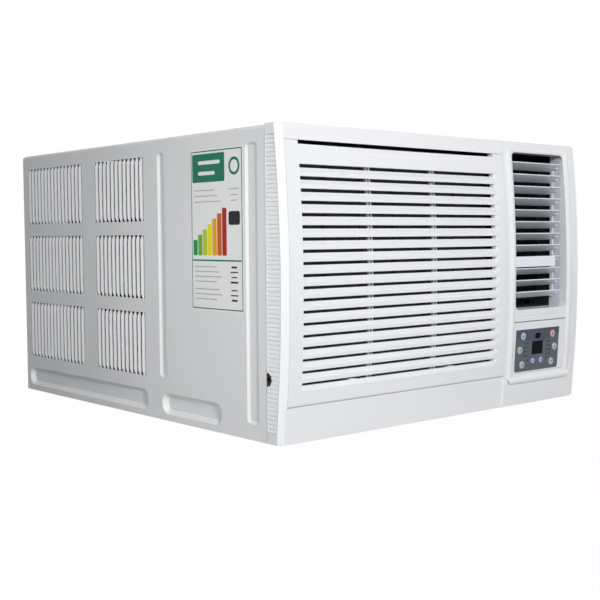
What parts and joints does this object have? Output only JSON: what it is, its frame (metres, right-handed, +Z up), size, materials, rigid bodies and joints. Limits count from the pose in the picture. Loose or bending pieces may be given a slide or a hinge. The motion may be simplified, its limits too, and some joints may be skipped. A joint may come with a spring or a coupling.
{
  "type": "window air conditioner",
  "caption": "Box-shaped window air conditioner with a hinged intake grille, a louvred air outlet, push-button controls and sheet sides pressed with louvres.",
  "frame": {"origin": "bottom of the feet, under the middle of the whole unit's box", "axes": "+X to the right seen from the room, +Y from the room to the outdoor end, +Z up; the front panel faces -Y"},
  "size_m": [0.6622, 0.7586, 0.428],
  "materials": {
    "cabinet_paint": "satin powder coat",
    "galvanised": "galvanised",
    "screw_steel": "plated",
    "front_plastic": "gloss moulded",
    "rib_plastic": "satin",
    "blade_plastic": "satin moulded",
    "duct_plastic": "moulded",
    "dark_plastic": "moulded",
    "filter_net": "woven net in a moulded frame",
    "overlay_film": "printed film",
    "display_dark": "tinted window",
    "button_silver": "satin silver",
    "button_blue": "satin pale blue",
    "button_pink": "satin pale pink",
    "board": "solder mask",
    "coil_fins": "bare fins",
    "shaft_steel": "ground",
    "motor_paint": "satin",
    "compressor_paint": "satin",
    "rubber": "moulded",
    "copper": "drawn tube"
  },
  "bodies": {
    "cabinet": {"left_side_panel": "cabinet_paint", "right_side_panel": "cabinet_paint", "top_panel": "cabinet_paint", "base_pan": "galvanised", "rear_guard": "galvanised", "bulkhead": "galvanised", "fan_shroud": "galvanised", "control_box": "galvanised", "cabinet_screws": "screw_steel", "front_frame": "front_plastic", "control_panel": "front_plastic", "rib_strips": "rib_plastic", "outlet_duct": "duct_plastic", "inlet_plate": "duct_plastic", "scroll_housing": "duct_plastic", "swing_motor": "dark_plastic", "control_overlay": "overlay_film", "display_windows": "display_dark", "control_board": "board", "evaporator": "coil_fins", "condenser": "coil_fins", "run_capacitor": "coil_fins", "fan_motor": "motor_paint", "compressor": "compressor_paint", "compressor_grommets": "rubber", "cord_grommet": "rubber", "refrigerant_pipes": "copper"},
    "intake": {"intake_grille": "front_plastic", "air_filter": "filter_net"},
    "fan_rotor": {"fan_shaft": "shaft_steel", "blower_wheel": "dark_plastic", "condenser_fan": "dark_plastic"},
    "outlet_blade_01": {"outlet_blade_01": "blade_plastic"},
    "outlet_blade_02": {"outlet_blade_02": "blade_plastic"},
    "outlet_blade_03": {"outlet_blade_03": "blade_plastic"},
    "outlet_blade_04": {"outlet_blade_04": "blade_plastic"},
    "outlet_blade_05": {"outlet_blade_05": "blade_plastic"},
    "outlet_blade_06": {"outlet_blade_06": "blade_plastic"},
    "outlet_blade_07": {"outlet_blade_07": "blade_plastic"},
    "outlet_blade_08": {"outlet_blade_08": "blade_plastic"},
    "outlet_handle_blade": {"outlet_handle_blade": "blade_plastic"},
    "outlet_blade_10": {"outlet_blade_10": "blade_plastic"},
    "outlet_blade_11": {"outlet_blade_11": "blade_plastic"},
    "outlet_blade_12": {"outlet_blade_12": "blade_plastic"},
    "air_vane_1": {"air_vane_1": "dark_plastic"},
    "air_vane_2": {"air_vane_2": "dark_plastic"},
    "air_vane_3": {"air_vane_3": "dark_plastic"},
    "air_vane_4": {"air_vane_4": "dark_plastic"},
    "air_vane_5": {"air_vane_5": "dark_plastic"},
    "air_vane_6": {"air_vane_6": "dark_plastic"},
    "blade_link": {"blade_link": "dark_plastic"},
    "vane_link": {"vane_link": "dark_plastic"},
    "power_button": {"power_button": "button_blue"},
    "mode_button": {"mode_button": "button_pink"},
    "sleep_button": {"sleep_button": "button_silver"},
    "timer_button": {"timer_button": "button_silver"},
    "swing_button": {"swing_button": "button_silver"},
    "fan_button": {"fan_button": "button_silver"},
    "cooler_button": {"cooler_button": "button_blue"},
    "warmer_button": {"warmer_button": "button_blue"}
  },
  "joints": [
    {"name": "grille_open", "type": "hinge", "parent": "cabinet", "child": "intake", "pos_m": [0, -0.36597, 0.0555], "axis": [1, 0, 0], "range_deg": [0, 35]},
    {"name": "blade_01_tilt", "type": "hinge", "parent": "cabinet", "child": "outlet_blade_01", "pos_m": [0.2215, -0.35573, 0.3907], "axis": [1, 0, 0], "range_deg": [-12, 36]},
    {"name": "blade_02_tilt", "type": "hinge", "parent": "cabinet", "child": "outlet_blade_02", "pos_m": [0.2215, -0.35573, 0.3716], "axis": [1, 0, 0], "range_deg": [-12, 36]},
    {"name": "blade_03_tilt", "type": "hinge", "parent": "cabinet", "child": "outlet_blade_03", "pos_m": [0.2215, -0.35573, 0.3525], "axis": [1, 0, 0], "range_deg": [-12, 36]},
    {"name": "blade_04_tilt", "type": "hinge", "parent": "cabinet", "child": "outlet_blade_04", "pos_m": [0.2215, -0.35573, 0.3334], "axis": [1, 0, 0], "range_deg": [-12, 36]},
    {"name": "blade_05_tilt", "type": "hinge", "parent": "cabinet", "child": "outlet_blade_05", "pos_m": [0.2215, -0.35573, 0.3143], "axis": [1, 0, 0], "range_deg": [-12, 36]},
    {"name": "blade_06_tilt", "type": "hinge", "parent": "cabinet", "child": "outlet_blade_06", "pos_m": [0.2215, -0.35573, 0.2952], "axis": [1, 0, 0], "range_deg": [-12, 36]},
    {"name": "blade_07_tilt", "type": "hinge", "parent": "cabinet", "child": "outlet_blade_07", "pos_m": [0.2215, -0.35573, 0.2761], "axis": [1, 0, 0], "range_deg": [-12, 36]},
    {"name": "blade_08_tilt", "type": "hinge", "parent": "cabinet", "child": "outlet_blade_08", "pos_m": [0.2215, -0.35573, 0.257], "axis": [1, 0, 0], "range_deg": [-12, 36]},
    {"name": "handle_blade_tilt", "type": "hinge", "parent": "cabinet", "child": "outlet_handle_blade", "pos_m": [0.2215, -0.35573, 0.2379], "axis": [1, 0, 0], "range_deg": [-12, 36]},
    {"name": "blade_10_tilt", "type": "hinge", "parent": "cabinet", "child": "outlet_blade_10", "pos_m": [0.2215, -0.35573, 0.2188], "axis": [1, 0, 0], "range_deg": [-12, 36]},
    {"name": "blade_11_tilt", "type": "hinge", "parent": "cabinet", "child": "outlet_blade_11", "pos_m": [0.2215, -0.35573, 0.1997], "axis": [1, 0, 0], "range_deg": [-12, 36]},
    {"name": "blade_12_tilt", "type": "hinge", "parent": "cabinet", "child": "outlet_blade_12", "pos_m": [0.2215, -0.35573, 0.1806], "axis": [1, 0, 0], "range_deg": [-12, 36]},
    {"name": "blade_link_pivot", "type": "hinge", "parent": "outlet_handle_blade", "child": "blade_link", "pos_m": [0.2874, -0.34751, 0.23424], "axis": [1, 0, 0], "range_deg": [-36, 12]},
    {"name": "vane_1_swing", "type": "hinge", "parent": "cabinet", "child": "air_vane_1", "pos_m": [0.164, -0.31073, 0.2845], "axis": [0, 0, 1], "range_deg": [-35, 35]},
    {"name": "vane_2_swing", "type": "hinge", "parent": "cabinet", "child": "air_vane_2", "pos_m": [0.187, -0.31073, 0.2845], "axis": [0, 0, 1], "range_deg": [-35, 35]},
    {"name": "vane_3_swing", "type": "hinge", "parent": "cabinet", "child": "air_vane_3", "pos_m": [0.21, -0.31073, 0.2845], "axis": [0, 0, 1], "range_deg": [-35, 35]},
    {"name": "vane_4_swing", "type": "hinge", "parent": "cabinet", "child": "air_vane_4", "pos_m": [0.233, -0.31073, 0.2845], "axis": [0, 0, 1], "range_deg": [-35, 35]},
    {"name": "vane_5_swing", "type": "hinge", "parent": "cabinet", "child": "air_vane_5", "pos_m": [0.256, -0.31073, 0.2845], "axis": [0, 0, 1], "range_deg": [-35, 35]},
    {"name": "vane_6_swing", "type": "hinge", "parent": "cabinet", "child": "air_vane_6", "pos_m": [0.279, -0.31073, 0.2845], "axis": [0, 0, 1], "range_deg": [-35, 35]},
    {"name": "vane_link_pivot", "type": "hinge", "parent": "air_vane_6", "child": "vane_link", "pos_m": [0.279, -0.31973, 0.169], "axis": [0, 0, 1], "range_deg": [-35, 35]},
    {"name": "fan_spin", "type": "hinge", "parent": "cabinet", "child": "fan_rotor", "pos_m": [-0.095, -0.14673, 0.225], "axis": [0, 1, 0], "continuous": true},
    {"name": "power_press", "type": "slide", "parent": "cabinet", "child": "power_button", "axis": [0, 0.998, 0.0636], "range_m": [0, 0.0008], "stiffness_N_per_m": 800, "springref_m": -0.0012},
    {"name": "mode_press", "type": "slide", "parent": "cabinet", "child": "mode_button", "axis": [0, 0.998, 0.0636], "range_m": [0, 0.0008], "stiffness_N_per_m": 800, "springref_m": -0.0012},
    {"name": "sleep_press", "type": "slide", "parent": "cabinet", "child": "sleep_button", "axis": [0, 0.998, 0.0636], "range_m": [0, 0.0008], "stiffness_N_per_m": 800, "springref_m": -0.0012},
    {"name": "timer_press", "type": "slide", "parent": "cabinet", "child": "timer_button", "axis": [0, 0.998, 0.0636], "range_m": [0, 0.0008], "stiffness_N_per_m": 800, "springref_m": -0.0012},
    {"name": "swing_press", "type": "slide", "parent": "cabinet", "child": "swing_button", "axis": [0, 0.998, 0.0636], "range_m": [0, 0.0008], "stiffness_N_per_m": 800, "springref_m": -0.0012},
    {"name": "fan_press", "type": "slide", "parent": "cabinet", "child": "fan_button", "axis": [0, 0.998, 0.0636], "range_m": [0, 0.0008], "stiffness_N_per_m": 800, "springref_m": -0.0012},
    {"name": "cooler_press", "type": "slide", "parent": "cabinet", "child": "cooler_button", "axis": [0, 0.998, 0.0636], "range_m": [0, 0.0008], "stiffness_N_per_m": 800, "springref_m": -0.0012},
    {"name": "warmer_press", "type": "slide", "parent": "cabinet", "child": "warmer_button", "axis": [0, 0.998, 0.0636], "range_m": [0, 0.0008], "stiffness_N_per_m": 800, "springref_m": -0.0012}
  ],
  "couplings": [
    {"joint": "blade_01_tilt", "follows": "handle_blade_tilt", "ratio": 1},
    {"joint": "blade_02_tilt", "follows": "handle_blade_tilt", "ratio": 1},
    {"joint": "blade_03_tilt", "follows": "handle_blade_tilt", "ratio": 1},
    {"joint": "blade_04_tilt", "follows": "handle_blade_tilt", "ratio": 1},
    {"joint": "blade_05_tilt", "follows": "handle_blade_tilt", "ratio": 1},
    {"joint": "blade_06_tilt", "follows": "handle_blade_tilt", "ratio": 1},
    {"joint": "blade_07_tilt", "follows": "handle_blade_tilt", "ratio": 1},
    {"joint": "blade_08_tilt", "follows": "handle_blade_tilt", "ratio": 1},
    {"joint": "blade_10_tilt", "follows": "handle_blade_tilt", "ratio": 1},
    {"joint": "blade_11_tilt", "follows": "handle_blade_tilt", "ratio": 1},
    {"joint": "blade_12_tilt", "follows": "handle_blade_tilt", "ratio": 1},
    {"joint": "blade_link_pivot", "follows": "handle_blade_tilt", "ratio": -1},
    {"joint": "vane_1_swing", "follows": "vane_6_swing", "ratio": 1},
    {"joint": "vane_2_swing", "follows": "vane_6_swing", "ratio": 1},
    {"joint": "vane_3_swing", "follows": "vane_6_swing", "ratio": 1},
    {"joint": "vane_4_swing", "follows": "vane_6_swing", "ratio": 1},
    {"joint": "vane_5_swing", "follows": "vane_6_swing", "ratio": 1},
    {"joint": "vane_link_pivot", "follows": "vane_6_swing", "ratio": -1}
  ]
}
